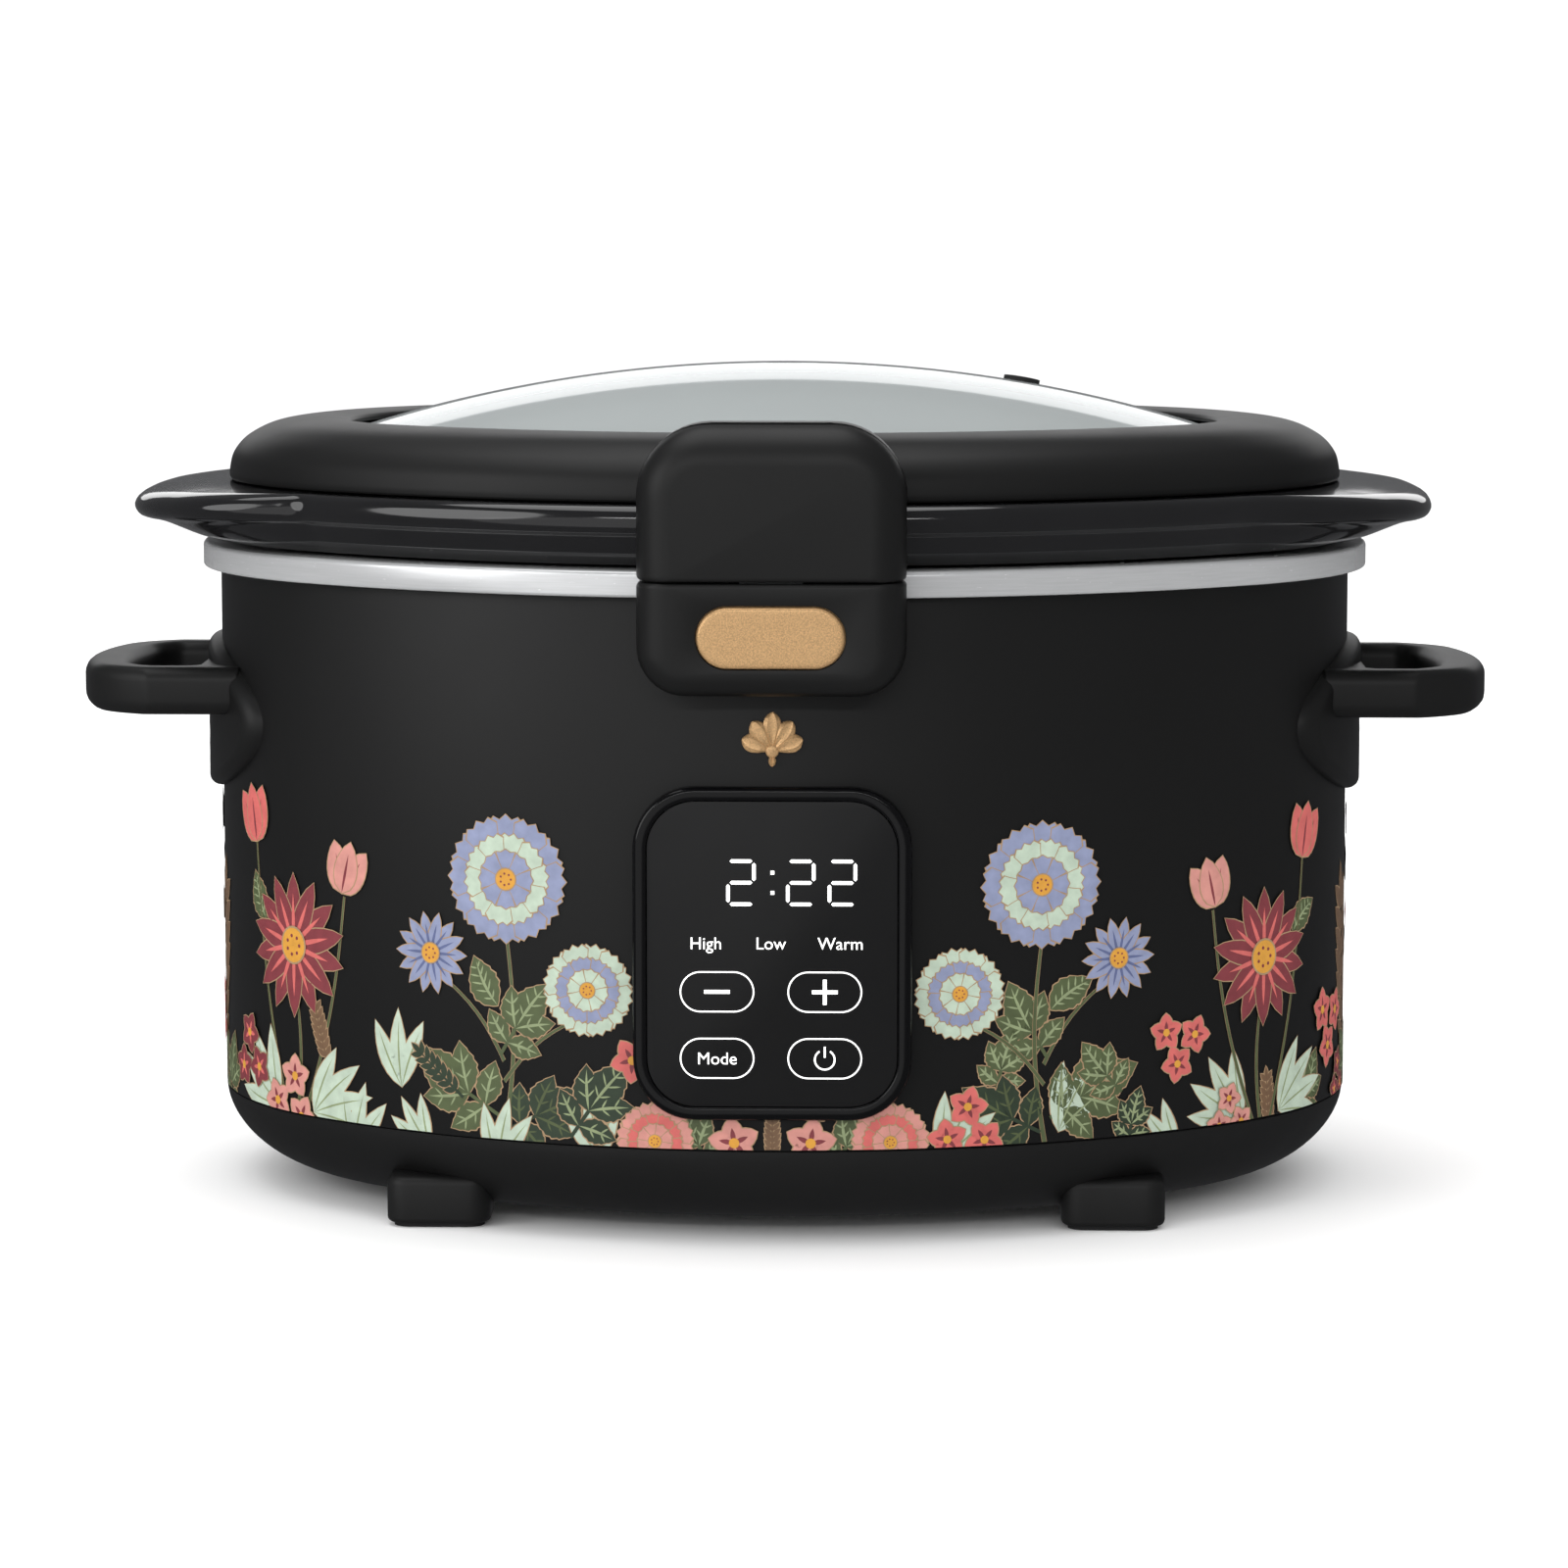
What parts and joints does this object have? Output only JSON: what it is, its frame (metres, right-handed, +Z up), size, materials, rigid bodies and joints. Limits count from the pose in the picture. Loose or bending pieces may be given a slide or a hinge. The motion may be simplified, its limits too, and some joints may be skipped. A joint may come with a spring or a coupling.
{
  "type": "slow cooker",
  "caption": "Oval programmable slow cooker: printed steel body with side handles, touch panel, lift-out stoneware crock and a rear-hinged, front-latched glass lid.",
  "frame": {"origin": "centre of the oval body on the plane that the feet stand on", "axes": "+X along the oval's length, to the right as seen from the front; the control panel faces -Y; +Z up"},
  "size_m": [0.43, 0.294, 0.25],
  "materials": {
    "black_plastic": "matte soft-touch black",
    "rubber": "matte black silicone",
    "fastener_steel": "zinc plated",
    "printed_steel": "satin black with a printed floral band",
    "trim_steel": "brushed",
    "liner_aluminium": "satin",
    "heater": "mica wrap",
    "felt": "needled felt",
    "fuse_ceramic": "matte",
    "inner_plastic": "satin",
    "circuit_board": "solder mask",
    "copper": "bright",
    "wire": "sheathed",
    "gloss_black": "gloss black",
    "gold": "satin champagne gold",
    "stoneware": "glazed black",
    "glass": "clear tempered"
  },
  "bodies": {
    "base": {"base_pan": "black_plastic", "foot_front_left": "black_plastic", "foot_front_right": "black_plastic", "foot_rear_left": "black_plastic", "foot_rear_right": "black_plastic", "foot_pads": "rubber", "foot_screws": "fastener_steel", "outer_wall": "printed_steel", "trim_ring": "trim_steel", "heating_liner": "liner_aluminium", "heating_band": "heater", "band_clamp": "fastener_steel", "insulation_blanket": "felt", "tie_bolts": "fastener_steel", "tie_spacers": "fastener_steel", "tie_nuts": "fastener_steel", "temperature_sensor": "liner_aluminium", "sensor_spring": "fastener_steel", "thermal_fuse": "fuse_ceramic", "panel_housing": "inner_plastic", "control_board": "circuit_board", "board_screws": "fastener_steel", "display_module": "inner_plastic", "touch_springs": "copper", "control_bezel": "gloss_black", "touch_panel": "gloss_black", "emblem_badge": "gold", "power_board": "circuit_board", "power_relay": "inner_plastic", "transformer": "copper", "power_board_screws": "fastener_steel", "ribbon_cable": "wire", "heater_leads": "wire", "terminal_block": "inner_plastic", "cord_gland": "black_plastic", "handle_left": "black_plastic", "handle_right": "black_plastic", "handle_plate_left": "fastener_steel", "handle_plate_right": "fastener_steel", "handle_screws": "fastener_steel", "latch_housing": "black_plastic", "latch_screws": "fastener_steel", "hinge_bracket": "black_plastic", "hinge_screws": "fastener_steel", "button_spring": "fastener_steel"},
    "button": {"release_button": "gold", "latch_hook": "fastener_steel"},
    "crock": {"crock": "stoneware"},
    "lid": {"lid_frame": "black_plastic", "under_ring": "black_plastic", "lid_screws": "fastener_steel", "lid_glass": "glass", "glass_gasket": "rubber", "vent_grommet": "rubber", "lid_seal": "rubber", "lid_clasp": "black_plastic", "clasp_screws": "fastener_steel", "strike_plate": "fastener_steel", "hinge_arm": "black_plastic", "hinge_pin": "fastener_steel"}
  },
  "joints": [
    {"name": "button_press", "type": "slide", "parent": "base", "child": "button", "axis": [0, 1, 0], "range_m": [0, 0.0025], "stiffness_N_per_m": 400, "springref_m": -0.004, "deforming": ["button_spring"]},
    {"name": "crock_lift", "type": "slide", "parent": "base", "child": "crock", "axis": [0, 0, 1], "range_m": [0, 0.185]},
    {"name": "lid_hinge", "type": "hinge", "parent": "crock", "child": "lid", "pos_m": [0, 0.1415, 0.2055], "axis": [-1, 0, 0], "range_deg": [0, 95]}
  ]
}
